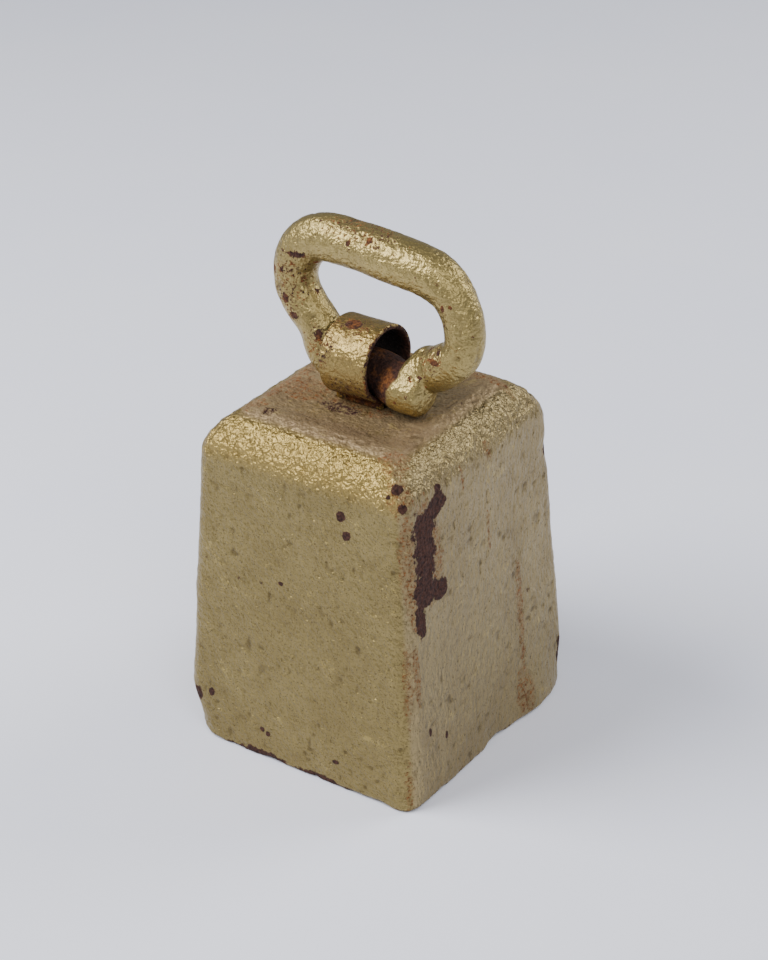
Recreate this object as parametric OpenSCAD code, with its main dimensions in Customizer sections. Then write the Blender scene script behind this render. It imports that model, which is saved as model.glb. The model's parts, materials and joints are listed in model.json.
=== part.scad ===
// Forged iron cowbell: a four-sided tapered bell with a dished crown, a rolled
// hanger strap, a lifting ring that swings in the strap's eye, and a clapper
// that swings from a pin through the strap's legs.
// +Z is up, the mouth's rim lies on z = 0 and the origin is under the middle of
// the bell. The ring and its hinge lie along X, the clapper's pin along Y.

/* [Bell body] */
// Width of the mouth along X, outside
mouth_w = 100; // [88:1:130]
// Depth of the mouth along Y, outside
mouth_d = 103; // [88:1:130]
// Width of the walls along X at the foot of the shoulder, outside
shoulder_w = 86; // [76:1:110]
// Depth of the walls along Y at the foot of the shoulder, outside
shoulder_d = 87; // [76:1:110]
// Height from the rim to the top of the crown
bell_h = 125.5; // [104:0.5:155]
// Thickness of the wall sheet
wall_t = 3; // [2:0.1:4]
// Thickness of the crown sheet
crown_t = 3; // [2:0.1:4]
// Outside radius of the upright corners at the mouth
mouth_corner_r = 7.5; // [5:0.5:12]
// Outside radius of the upright corners at the shoulder
top_corner_r = 5; // [4:0.5:10]
// Outside radius of the corners where the shoulder meets the flat of the crown
crown_corner_r = 4.5; // [4:0.5:8]
// Radius of the shoulder between the walls and the crown
shoulder_r = 16; // [8:0.5:18]

/* [Hanger strap] */
// Width of the strap along X
strap_w = 19; // [14:0.5:24]
// Thickness of the strap sheet
strap_t = 1.8; // [1.2:0.1:2.6]
// Inside radius of the rolled eye
eye_r = 12; // [10.5:0.1:15]
// Free space between the two legs
leg_gap = 6; // [4:0.5:8]
// Length of the legs below the middle of the clapper's pin
leg_tail = 7.5; // [5:0.5:10]

/* [Backing plate] */
// Side of the square plate under the crown
plate_w = 38; // [30:1:46]
// Thickness of the plate
plate_t = 3; // [2:0.5:5]

/* [Lifting ring] */
// Diameter of the ring's round bar
bar_d = 15.8; // [13:0.1:17.5]
// Height of the ring's upper left corner above its lower bar, middle to middle
ring_rise = 44.5; // [37:0.1:54]
// Slope of the upper bar, falling to the right, in degrees
ring_fall = 5; // [0:0.1:6]
// Lean of the left leg away from upright, in degrees
left_lean = 41; // [30:0.5:45]
// Lean of the right leg away from upright, in degrees
right_lean = 57; // [45:0.5:60]
// Bend radius at the foot of the left leg, over the bar's middle
foot_bend_r = 9; // [9:0.5:12]
// Bend radius at the upper left corner, over the bar's middle
left_bend_r = 14.2; // [10:0.1:15]
// Bend radius at the right end, over the bar's middle
right_bend_r = 16; // [12:0.1:18]
// Length of the lower bar from the strap's right face to its lapped end
lap_end = 18; // [16:0.5:22]
// Rounding of the lapped end's rim
lap_round = 3.5; // [1:0.1:4]
// How far right of the strap's face the right leg lands on the lower bar
lap_foot = 6.4; // [6:0.1:8]
// Lean of the ring at rest, away from the front, in degrees
ring_tilt = 6; // [0:1:20]

/* [Clapper] */
// Diameter of the pin that carries the clapper
pin_d = 6; // [4:0.5:8]
// Drop of the pin's middle below the backing plate
pin_drop = 10.5; // [10:0.5:14]
// Diameter of the pin's two heads
pin_head_d = 11; // [9:0.5:14]
// Thickness of each head
pin_head_t = 2.5; // [1.5:0.5:4]
// Diameter of the washers under the heads
washer_d = 14; // [12:0.5:17]
// Thickness of the washers
washer_t = 1.2; // [0.8:0.1:2]
// Outside diameter of the flat eye at the shank's top
shank_eye_d = 16; // [13:0.5:18]
// Diameter of the shank's round rod
shank_d = 7; // [5:0.5:9]
// Height of the bob's middle above the rim
bob_lift = 21; // [18:1:40]
// Diameter of the bob
bob_d = 28; // [20:1:32]

/* [Clearances] */
// Space between the ring's bar and the floor of the strap's eye
bar_rest_gap = 0.4; // [0.3:0.1:1]
// Space between the ring's bends and the sides of the strap
bend_side_gap = 0.3; // [0.3:0.1:1]
// Space between the bore of the shank's eye and the pin, all round
pin_clearance = 0.05; // [0.03:0.01:0.1]
// Space between the shank's eye and each leg
eye_side_gap = 0.3; // [0.2:0.05:0.5]
// Space between the washers' holes and the pin, all round
washer_clearance = 0.2; // [0.1:0.05:0.4]

/* [Hidden] */

HULL_FACETS = 32;   // facets of the round corners inside a hull
ROUND_FACETS = 96;  // facets of true round shapes
SHOULDER_STEPS = 6; // straight steps that make up the shoulder's curve
MIN_INNER_R = 1;    // smallest corner radius inside the sheet
CUT = 1;            // how far a cutting shape runs past what it cuts
JOIN = 0.3;         // how far a straight length of the ring runs into a bend
JOIN_STEP = 0.06;   // how much thinner it is than the bend, so that it ends inside it

// Bell
joint_z = bell_h - shoulder_r;
crown_under_z = bell_h - crown_t;
plate_under_z = crown_under_z - plate_t;

// Strap
eye_outer_r = eye_r + strap_t;
eye_z = bell_h + eye_outer_r;
leg_outer_w = leg_gap + 2 * strap_t;

// Clapper
pin_z = plate_under_z - pin_drop;
leg_end_z = pin_z - leg_tail;
head_face_y = leg_outer_w / 2 + washer_t;
shank_eye_t = leg_gap - 2 * eye_side_gap;
neck_w = shank_d + 2;
neck_len = leg_tail + neck_w / 2 + 1;
bob_flat = bob_d / 2 - 2;  // the bob's flats, measured from its middle
collar_d = shank_d + 4;
collar_t = 2.5;
clapper_len = pin_z - bob_lift;

// Ring, drawn flat: its X runs along the lower bar's middle line, its Y up the ring
bar_r = bar_d / 2;
ring_z = eye_z - eye_r + bar_rest_gap + bar_r;
leg_heading = 90 + left_lean;
top_heading = -ring_fall;
end_heading = -90 - right_lean;
straight_end = [-strap_w / 2 - bend_side_gap, 0];
straight_r = (bar_d - JOIN_STEP) / 2;
left_foot = straight_end - [foot_bend_r * tan((180 - leg_heading) / 2), 0];
left_top = left_foot + ring_rise / cos(left_lean) * aim(leg_heading);
right_foot = [strap_w / 2 + lap_foot, 0];
right_top = meeting(left_top, top_heading, right_foot, end_heading);

// Unit vector at an angle
function aim(a) = [cos(a), sin(a)];

// Where the line through p at angle a meets the line through q at angle b
function meeting(p, a, q, b) = p + cross(q - p, aim(b)) / cross(aim(a), aim(b)) * aim(a);

// Length that a bend of radius r takes off each of the two lines it joins
function bend_reach(r, a_in, a_out) = r * tan((a_in - a_out) / 2);

// Size of the bell's outside at height z, from the mouth to the shoulder's foot
function blend(z, at_mouth, at_shoulder) = at_mouth + (at_shoulder - at_mouth) * z / joint_z;

// One level of the bell: its height, width, depth and corner radius
function wall_level(z, inset) = [
    z,
    blend(z, mouth_w, shoulder_w) - 2 * inset,
    blend(z, mouth_d, shoulder_d) - 2 * inset,
    max(blend(z, mouth_corner_r, top_corner_r) - inset, MIN_INNER_R)];

// One level of the shoulder, at angle a round its curve
function shoulder_level(a, inset, drop) =
    let (in = inset + (shoulder_r - inset) * (1 - cos(a)))
    [
        joint_z + (shoulder_r - drop) * sin(a),
        shoulder_w - 2 * in,
        shoulder_d - 2 * in,
        max(top_corner_r + (crown_corner_r - top_corner_r) * a / 90 - inset, MIN_INNER_R)];

function shoulder_levels(inset, drop) =
    [for (i = [0 : SHOULDER_STEPS]) shoulder_level(90 * i / SHOULDER_STEPS, inset, drop)];

// A leaning cone that forms one upright corner between two levels
module corner_post(low, high, side_x, side_y) {
    rise = high[0] - low[0];
    foot = [side_x * (low[1] / 2 - low[3]), side_y * (low[2] / 2 - low[3])];
    head = [side_x * (high[1] / 2 - high[3]), side_y * (high[2] / 2 - high[3])];
    lean = (head - foot) / rise;
    multmatrix([[1, 0, lean[0], foot[0]], [0, 1, lean[1], foot[1]], [0, 0, 1, low[0]], [0, 0, 0, 1]])
        cylinder(h = rise, r1 = low[3], r2 = high[3], $fn = HULL_FACETS);
}

// A solid that follows a list of levels, each with four round corners
module block(levels) {
    hull()
        for (i = [1 : len(levels) - 1], side_x = [-1, 1], side_y = [-1, 1])
            corner_post(levels[i - 1], levels[i], side_x, side_y);
}

// The slot that the strap's two legs fill, and the space between them
module leg_slot(low_z, high_z) {
    translate([-strap_w / 2, -leg_outer_w / 2, low_z])
        cube([strap_w, leg_outer_w, high_z - low_z]);
}

// A round piece whose axis lies along Y, from y = from_y to y = to_y
module disc_y(r, from_y, to_y) {
    translate([0, from_y, 0])
        rotate([-90, 0, 0])
            cylinder(h = to_y - from_y, r = r, $fn = ROUND_FACETS);
}

module bell_wall() {
    color("#8f8359")
        difference() {
            block([wall_level(0, 0), wall_level(joint_z, 0)]);
            block([wall_level(-CUT, wall_t), wall_level(joint_z + CUT, wall_t)]);
        }
}

module crown_cap() {
    color("#85774f")
        difference() {
            block(shoulder_levels(0, 0));
            block(concat([wall_level(joint_z - CUT, wall_t)], shoulder_levels(wall_t, crown_t)));
            leg_slot(crown_under_z - CUT, bell_h + CUT);
        }
}

// The strap's outline seen along X: the rolled eye and its two legs
module strap_outline() {
    difference() {
        union() {
            translate([0, eye_z])
                circle(r = eye_outer_r, $fn = ROUND_FACETS);
            translate([-leg_outer_w / 2, leg_end_z])
                square([leg_outer_w, eye_z - eye_r - leg_end_z]);
        }
        translate([0, eye_z])
            circle(r = eye_r, $fn = ROUND_FACETS);
        translate([-leg_gap / 2, leg_end_z - CUT])
            square([leg_gap, eye_z - leg_end_z + CUT]);
    }
}

module hanger_strap() {
    color("#a3935f")
        difference() {
            translate([-strap_w / 2, 0, 0])
                rotate([90, 0, 90])
                    linear_extrude(strap_w)
                        strap_outline();
            translate([0, 0, pin_z])
                disc_y(pin_d / 2, -leg_outer_w / 2 - CUT, leg_outer_w / 2 + CUT);
        }
}

module backing_plate() {
    color("#5b4637")
        difference() {
            translate([-plate_w / 2, -plate_w / 2, plate_under_z])
                cube([plate_w, plate_w, plate_t]);
            leg_slot(plate_under_z - CUT, crown_under_z + CUT);
        }
}

module clapper_pin() {
    color("#6b5a4a")
        translate([0, 0, pin_z]) {
            disc_y(pin_d / 2, -head_face_y, head_face_y);
            disc_y(pin_head_d / 2, -head_face_y - pin_head_t, -head_face_y);
            disc_y(pin_head_d / 2, head_face_y, head_face_y + pin_head_t);
        }
}

module pin_washers() {
    color("#7a6a58")
        translate([0, 0, pin_z])
            for (side_y = [-1, 1])
                scale([1, side_y, 1])
                    difference() {
                        disc_y(washer_d / 2, leg_outer_w / 2, head_face_y);
                        disc_y(pin_d / 2 + washer_clearance, leg_outer_w / 2 - CUT, head_face_y + CUT);
                    }
}

module clapper_shank() {
    color("#54443a")
        translate([0, 0, pin_z])
            difference() {
                union() {
                    disc_y(shank_eye_d / 2, -shank_eye_t / 2, shank_eye_t / 2);
                    translate([-neck_w / 2, -shank_eye_t / 2, -neck_len])
                        cube([neck_w, shank_eye_t, neck_len - pin_d / 2]);
                    translate([0, 0, -clapper_len - bob_flat])
                        cylinder(h = clapper_len + bob_flat - neck_len + shank_eye_t / 2,
                                 d = shank_d, $fn = ROUND_FACETS);
                    translate([0, 0, -clapper_len + bob_flat])
                        cylinder(h = collar_t, d = collar_d, $fn = ROUND_FACETS);
                    translate([0, 0, -clapper_len - bob_flat - collar_t])
                        cylinder(h = collar_t, d = collar_d, $fn = ROUND_FACETS);
                }
                disc_y(pin_d / 2 + pin_clearance, -shank_eye_t / 2 - CUT, shank_eye_t / 2 + CUT);
            }
}

module clapper_bob() {
    color("#4a3c34")
        translate([0, 0, bob_lift])
            difference() {
                intersection() {
                    sphere(d = bob_d, $fn = ROUND_FACETS);
                    translate([0, 0, -bob_flat])
                        cylinder(h = 2 * bob_flat, d = bob_d + CUT, $fn = ROUND_FACETS);
                }
                translate([0, 0, -bob_flat - CUT])
                    cylinder(h = 2 * (bob_flat + CUT), d = shank_d, $fn = ROUND_FACETS);
            }
}

// A straight length of the ring's bar between two points of the flat drawing
module straight_bar(p, q) {
    translate(p)
        rotate([0, 0, atan2(q[1] - p[1], q[0] - p[0])])
            rotate([0, 90, 0])
                translate([0, 0, -JOIN])
                    cylinder(h = norm(q - p) + 2 * JOIN, r = straight_r, $fn = ROUND_FACETS);
}

// The lower bar, which passes through the strap's eye and ends in a blunt round end
module lower_bar() {
    length = strap_w / 2 + lap_end - straight_end[0] + JOIN;
    translate(straight_end - [JOIN, 0])
        rotate([0, 90, 0])
            rotate_extrude($fn = ROUND_FACETS) {
                square([straight_r, length - lap_round]);
                square([straight_r - lap_round, length]);
                translate([straight_r - lap_round, length - lap_round])
                    circle(r = lap_round, $fn = ROUND_FACETS);
            }
}

// A bend of the bar, turning clockwise at a corner of the flat drawing
module bent_bar(corner, r, a_in, a_out) {
    start = corner - bend_reach(r, a_in, a_out) * aim(a_in);
    translate(start + r * aim(a_in - 90))
        rotate([0, 0, a_out + 90])
            rotate_extrude(angle = a_in - a_out, $fn = ROUND_FACETS)
                translate([r, 0])
                    circle(d = bar_d, $fn = ROUND_FACETS);
}

module lifting_ring() {
    foot_reach = bend_reach(foot_bend_r, 180, leg_heading);
    left_reach = bend_reach(left_bend_r, leg_heading, top_heading);
    right_reach = bend_reach(right_bend_r, top_heading, end_heading);
    color("#a8985f")
        translate([0, 0, ring_z])
            rotate([90 - ring_tilt, 0, 0]) {
                lower_bar();
                bent_bar(left_foot, foot_bend_r, 180, leg_heading);
                straight_bar(left_foot + foot_reach * aim(leg_heading),
                             left_top - left_reach * aim(leg_heading));
                bent_bar(left_top, left_bend_r, leg_heading, top_heading);
                straight_bar(left_top + left_reach * aim(top_heading),
                             right_top - right_reach * aim(top_heading));
                bent_bar(right_top, right_bend_r, top_heading, end_heading);
                straight_bar(right_top + right_reach * aim(end_heading), right_foot);
            }
}

bell_wall();
crown_cap();
hanger_strap();
backing_plate();
clapper_pin();
pin_washers();
clapper_shank();
clapper_bob();
lifting_ring();
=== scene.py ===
# %% [markdown]
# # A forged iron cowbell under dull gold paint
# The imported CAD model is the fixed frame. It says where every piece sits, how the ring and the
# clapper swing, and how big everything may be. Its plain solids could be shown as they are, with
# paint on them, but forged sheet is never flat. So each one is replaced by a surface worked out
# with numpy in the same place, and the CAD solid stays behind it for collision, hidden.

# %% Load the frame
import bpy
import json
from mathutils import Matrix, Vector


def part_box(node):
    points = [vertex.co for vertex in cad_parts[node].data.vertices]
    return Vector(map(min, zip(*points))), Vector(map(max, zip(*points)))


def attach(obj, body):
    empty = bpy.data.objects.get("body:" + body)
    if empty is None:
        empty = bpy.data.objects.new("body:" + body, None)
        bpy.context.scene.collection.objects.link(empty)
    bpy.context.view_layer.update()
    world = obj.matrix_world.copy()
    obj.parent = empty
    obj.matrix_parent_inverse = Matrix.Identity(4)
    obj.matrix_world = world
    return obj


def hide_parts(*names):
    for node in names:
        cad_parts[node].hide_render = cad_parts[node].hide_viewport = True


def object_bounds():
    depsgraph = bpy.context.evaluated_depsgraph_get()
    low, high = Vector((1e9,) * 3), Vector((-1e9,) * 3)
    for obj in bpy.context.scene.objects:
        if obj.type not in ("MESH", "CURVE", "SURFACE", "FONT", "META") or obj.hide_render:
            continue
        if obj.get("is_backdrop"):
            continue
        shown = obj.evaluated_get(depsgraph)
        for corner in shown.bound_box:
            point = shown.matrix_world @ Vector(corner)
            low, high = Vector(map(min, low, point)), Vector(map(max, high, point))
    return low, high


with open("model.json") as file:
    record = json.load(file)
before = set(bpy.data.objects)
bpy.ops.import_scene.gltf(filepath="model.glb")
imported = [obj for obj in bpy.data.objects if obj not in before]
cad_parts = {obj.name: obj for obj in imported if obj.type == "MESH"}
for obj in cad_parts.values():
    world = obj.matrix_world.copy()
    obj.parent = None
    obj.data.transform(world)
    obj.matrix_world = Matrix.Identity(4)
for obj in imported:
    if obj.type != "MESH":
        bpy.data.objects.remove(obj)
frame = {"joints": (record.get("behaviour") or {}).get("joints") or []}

cad_low, cad_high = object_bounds()

# %% Imports and units
import json
import math

import bpy
import numpy as np
from mathutils import Matrix, Vector

MM = 0.001  # every size below is in millimetres, and the meshes are in metres


def box_mm(node_name):
    """The lowest and the highest corner of a CAD node, in millimetres."""
    low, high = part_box(node_name)
    return np.array(low) / MM, np.array(high) / MM


wall_low, wall_high = box_mm("bell_wall")
cap_low, cap_high = box_mm("crown_cap")
strap_low, strap_high = box_mm("hanger_strap")
plate_low, plate_high = box_mm("backing_plate")
pin_low, pin_high = box_mm("clapper_pin")
washers_low, washers_high = box_mm("pin_washers")
shank_low, shank_high = box_mm("clapper_shank")
bob_low, bob_high = box_mm("clapper_bob")
print("bell:", wall_low.round(1), cap_high.round(1))

# %% [markdown]
# ## The camera
# A product picture is taken from a little above with a long lens, so that upright edges stay
# nearly upright. The camera could be pointed with a Track To constraint, but a matrix built from
# three directions says exactly where it looks and leaves nothing live in the scene. It stands at
# a turn and a height round the bell, rolls a little, and slides sideways to frame the object.

# %% Camera
VIEW_TURN = math.radians(36.32)
VIEW_HEIGHT = math.radians(29.83)
VIEW_ROLL = math.radians(-2.22)
VIEW_DISTANCE = 853.7
VIEW_TARGET = Vector((0, 0, 60))
SLIDE_RIGHT = 3.69
SLIDE_UP = 27.55
LENS = 90.8
SENSOR = 36

backward = Vector((math.sin(VIEW_TURN) * math.cos(VIEW_HEIGHT),
                   -math.cos(VIEW_TURN) * math.cos(VIEW_HEIGHT),
                   math.sin(VIEW_HEIGHT)))
level_right = Vector((math.cos(VIEW_TURN), math.sin(VIEW_TURN), 0))
level_up = backward.cross(level_right)
rightward = level_right * math.cos(VIEW_ROLL) + level_up * math.sin(VIEW_ROLL)
upward = level_up * math.cos(VIEW_ROLL) - level_right * math.sin(VIEW_ROLL)
place = VIEW_TARGET + rightward * SLIDE_RIGHT + upward * SLIDE_UP + backward * VIEW_DISTANCE

camera_data = bpy.data.cameras.new("camera")
camera_data.lens = LENS
camera_data.sensor_width = SENSOR
camera = bpy.data.objects.new("camera", camera_data)
facing = Matrix((rightward, upward, backward)).transposed().to_4x4()
camera.matrix_world = Matrix.Translation(place * MM) @ facing
bpy.context.scene.collection.objects.link(camera)
bpy.context.scene.camera = camera
print("camera at", [round(x, 3) for x in camera.location])

# %% [markdown]
# ## Floor and light
# The bell stands on a pale sheet in a room of soft light. Brushed gold paint shows mostly what it
# mirrors, so the lamps are placed by mirror directions: the front shoulder sees the big lamp on
# the left, the right shoulder sees the smaller one behind, and the walls see the floor. A weak
# third lamp fills the shade on the right-hand face.

# %% Helpers for shader nodes
def node(tree, kind, inputs=None, **settings):
    """Adds a shader node, sets its settings, and fills its inputs with values or links."""
    made = tree.nodes.new("ShaderNode" + kind)
    for name, value in settings.items():
        setattr(made, name, value)
    for name, value in (inputs or {}).items():
        if isinstance(value, bpy.types.NodeSocket):
            tree.links.new(value, made.inputs[name])
        else:
            made.inputs[name].default_value = value
    return made


def calc(tree, operation, a, b):
    """One step of arithmetic on two values."""
    return node(tree, "Math", {0: a, 1: b}, operation=operation).outputs[0]


def times(tree, a, b):
    return calc(tree, "MULTIPLY", a, b)


def plus(tree, a, b):
    return calc(tree, "ADD", a, b)


def minus(tree, a, b):
    return calc(tree, "SUBTRACT", a, b)


def ramp(tree, value, start, end):
    """0 where the value is below start, 1 where it is above end, and smooth between."""
    return node(tree, "MapRange", {"Value": value, "From Min": start, "From Max": end},
                interpolation_type="SMOOTHSTEP").outputs["Result"]


def mix(tree, share, a, b):
    """Colour a with colour b laid over it by share."""
    return node(tree, "Mix", {0: share, 6: a, 7: b}, data_type="RGBA").outputs[2]


def clouds(tree, where, size, detail=3.0, rough=0.55, seed=0.0):
    """Noise from 0 to 1 with features about size mm across."""
    made = node(tree, "TexNoise", {"Vector": where, "W": seed, "Scale": 1 / (size * MM), "Detail": detail,
                                   "Roughness": rough}, noise_dimensions="4D")
    return made.outputs["Fac"]


def colour(red, green, blue):
    """A shader colour from display values of 0 to 255."""
    share = np.array([red, green, blue]) / 255
    linear = np.where(share < 0.04045, share / 12.92, ((share + 0.055) / 1.055) ** 2.4)
    return (*linear.tolist(), 1.0)


print("node helpers ready")

# %% Floor
FLOOR_SIZE = 6000
FLOOR_DROP = 0.02

floor_mesh = bpy.data.meshes.new("floor")
half = FLOOR_SIZE / 2 * MM
sides = ((-half, -half), (half, -half), (half, half), (-half, half))
floor_mesh.from_pydata([(x, y, -FLOOR_DROP * MM) for x, y in sides], [], [(0, 1, 2, 3)])
floor = bpy.data.objects.new("floor", floor_mesh)
bpy.context.scene.collection.objects.link(floor)
floor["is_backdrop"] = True

floor_paint = bpy.data.materials.new("pale_sheet")
floor_paint.use_nodes = True
tree = floor_paint.node_tree
where = node(tree, "TexCoord").outputs["Object"]
tone = mix(tree, clouds(tree, where, 90, 4.0, 0.6), colour(237, 239, 254), colour(245, 246, 255))
shader = tree.nodes["Principled BSDF"]
tree.links.new(tone, shader.inputs["Base Color"])
shader.inputs["Roughness"].default_value = 0.75
shader.inputs["Specular IOR Level"].default_value = 0.25
floor_mesh.materials.append(floor_paint)
print("floor", FLOOR_SIZE, "mm square")

# %% Light
LAMPS = {  # direction from the bell, distance, size and power in watts
    "key": ((-0.51, -0.42, 0.75), 1300, 900, 21.0),
    "back": ((0.42, 0.70, 0.58), 1300, 800, 8.5),
    "fill": ((0.55, -0.45, 0.70), 1300, 800, 6.0),
}
ROOM_COLOUR = (0.86, 0.91, 1.0, 1)
ROOM_STRENGTH = 0.30

for name, (direction, distance, size, power) in LAMPS.items():
    lamp_data = bpy.data.lights.new(name, "AREA")
    lamp_data.shape = "DISK"
    lamp_data.size = size * MM
    lamp_data.energy = power
    lamp = bpy.data.objects.new(name, lamp_data)
    toward = Vector(direction).normalized()
    lamp.location = toward * distance * MM
    lamp.rotation_euler = toward.to_track_quat("Z", "Y").to_euler()
    bpy.context.scene.collection.objects.link(lamp)

world = bpy.data.worlds.new("room")
world.use_nodes = True
world.node_tree.nodes["Background"].inputs["Color"].default_value = ROOM_COLOUR
world.node_tree.nodes["Background"].inputs["Strength"].default_value = ROOM_STRENGTH
bpy.context.scene.world = world
print("lamps:", list(LAMPS))

# %% [markdown]
# ## Numpy tools for forged iron
# Hammered and rusted sheet is uneven at every size: broad dents, hammer marks, then a crust of
# grains and pits. Sculpting would do it by hand, and a Displace modifier would need fine geometry
# anyway. Here a function of position gives the height of the unevenness, and the same function
# runs over neighbouring pieces, so dents carry on across a joint.

# %% Random heights
LATTICE = 32  # random numbers along each side of the lattice, which then repeats


def noise(points, size, seed):
    """Heights from -1 to 1 with bumps about size mm across.

    Each corner of a cubic lattice holds a random number, and a point takes the smooth blend of
    the eight corners round it.
    """
    table = np.random.default_rng(seed).uniform(-1, 1, (LATTICE,) * 3)
    corner = np.floor(points / size).astype(int)
    share = points / size - corner
    share = share * share * (3 - 2 * share)
    height = np.zeros(points.shape[:-1])
    for step in np.ndindex(2, 2, 2):
        cell = (corner + step) % LATTICE
        weight = np.where(step, share, 1 - share).prod(axis=-1)
        height += weight * table[cell[..., 0], cell[..., 1], cell[..., 2]]
    return height


def bump(distance):
    """1 at distance 0, falling smoothly to 0 at distance 1 and beyond."""
    return np.clip(1 - distance ** 2, 0, 1) ** 2


def step_up(value, start, end):
    """0 below start, 1 above end, and smooth between."""
    share = np.clip((value - start) / (end - start), 0, 1)
    return share * share * (3 - 2 * share)


print("noise sample:", noise(np.array([[1.0, 2.0, 3.0]]), 5, 1).round(3))

# %% Grids, faces and pieces
def grid_faces(rows, around, loop_rows):
    """The squares between neighbouring points of a grid that closes around, and over its rows if asked."""
    index = np.arange(rows * around).reshape(rows, around)
    index = np.hstack([index, index[:, :1]])
    if loop_rows:
        index = np.vstack([index, index[:1]])
    return np.stack([index[:-1, :-1], index[:-1, 1:], index[1:, 1:], index[1:, :-1]], -1).reshape(-1, 4)


def grid_normals(grid):
    """The direction that faces outward at each point of a grid that closes both ways: the cross
    product of its two central differences."""
    along = np.roll(grid, -1, 0) - np.roll(grid, 1, 0)
    around = np.roll(grid, -1, 1) - np.roll(grid, 1, 1)
    normal = np.cross(along, around)
    return normal / np.linalg.norm(normal, axis=-1, keepdims=True).clip(1e-9)


def volume(points, faces):
    """The volume inside a closed mesh, which is negative if its faces point inward."""
    a, b, c = (points[faces[:, k]] for k in (0, 1, 2))
    d = points[faces[:, 3]]
    return (np.einsum("ij,ij->i", a, np.cross(b, c)) + np.einsum("ij,ij->i", a, np.cross(c, d))).sum() / 6


def make_object(name, points, faces, normals=None):
    """A smooth object from points in mm and four-cornered faces, turned to face outward.

    A square whose last two corners are the same point becomes a triangle. Normals, if given,
    hold one direction per corner of each face.
    """
    if volume(points, faces) < 0:
        faces = faces[:, ::-1]
        normals = None if normals is None else normals[:, ::-1]
    mesh = bpy.data.meshes.new(name)
    flat_lists = [face if face[0] != face[1] and face[2] != face[3] else sorted(set(face), key=face.index)
                  for face in faces.tolist()]
    mesh.from_pydata((points * MM).tolist(), [], flat_lists)
    mesh.shade_smooth()
    if normals is not None:
        mesh.normals_split_custom_set(normals.reshape(-1, 3).tolist())
    made = bpy.data.objects.new(name, mesh)
    bpy.context.scene.collection.objects.link(made)
    return made


def store(made, name, values):
    """Keeps one number per point on the mesh, for its material to read."""
    attribute = made.data.attributes.new(name, "FLOAT", "POINT")
    attribute.data.foreach_set("value", values.astype(np.float32).ravel())


def place_piece(made, body, node_name, material):
    """Gives a finished piece its body and its material, and hides the CAD node it stands for."""
    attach(made, body)
    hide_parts(node_name)
    made.data.materials.clear()
    made.data.materials.append(material)
    made.data.calc_loop_triangles()
    print(f"{made.name}: {len(made.data.loop_triangles)} triangles, rides on {body}")


print("grid tools ready")

# %% [markdown]
# ## Paint, rust and bare iron
# Gold paint is a satin film with metal flakes. A flat gold colour would do at a distance, but the
# real film glitters on its hammer marks, so the shader is nearly metallic and has a fine relief.
# Rust is rough and not metallic, and it breaks through as freckles, as ragged spots and along
# edges. Each effect is a node group, and each material places it with its own values.

# %% Node groups
def new_group(name, inputs, outputs):
    """An empty node group. Inputs and outputs are names with their socket type and a default."""
    tree = bpy.data.node_groups.new(name, "ShaderNodeTree")
    for label, kind, value in inputs:
        socket = tree.interface.new_socket(name=label, in_out="INPUT", socket_type="NodeSocket" + kind)
        if value is not None:
            socket.default_value = value
    for label, kind in outputs:
        tree.interface.new_socket(name=label, in_out="OUTPUT", socket_type="NodeSocket" + kind)
    entry = tree.nodes.new("NodeGroupInput")
    leave = tree.nodes.new("NodeGroupOutput")
    return tree, entry.outputs, leave.inputs


def put(tree, target, source):
    tree.links.new(source, target)


def placed(tree, group, inputs):
    made = tree.nodes.new("ShaderNodeGroup")
    made.node_tree = group
    for name, value in inputs.items():
        if isinstance(value, bpy.types.NodeSocket):
            tree.links.new(value, made.inputs[name])
        else:
            made.inputs[name].default_value = value
    return made.outputs


def between(tree, operation, a, b):
    """One step of arithmetic on two vectors."""
    return node(tree, "VectorMath", {0: a, 1: b}, operation=operation).outputs[0]


print("group helpers ready")

# %% Group: ragged spot
def build_ragged_spot():
    """A mask of one ragged blot: distance from its centre over its reach, with a torn edge."""
    tree, given, out = new_group(
        "ragged_spot",
        [("Place", "Vector", None), ("Centre", "Vector", None), ("Reach", "Vector", (1, 1, 1)),
         ("Tear", "Float", 0.5), ("Tear Size", "Float", 200.0), ("Softness", "Float", 0.15)],
        [("Mask", "Float")])
    away = between(tree, "SUBTRACT", given["Place"], given["Centre"])
    scaled = between(tree, "DIVIDE", away, given["Reach"])
    distance = node(tree, "VectorMath", {0: scaled}, operation="LENGTH").outputs["Value"]
    torn = node(tree, "TexNoise", {"Vector": given["Place"], "Scale": given["Tear Size"],
                                   "Detail": 3.0, "Roughness": 0.65}).outputs["Fac"]
    shift = times(tree, minus(tree, torn, 0.5), given["Tear"])
    edge = minus(tree, 1.0, plus(tree, distance, shift))
    put(tree, out["Mask"], ramp(tree, edge, 0.0, given["Softness"]))
    return tree


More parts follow.
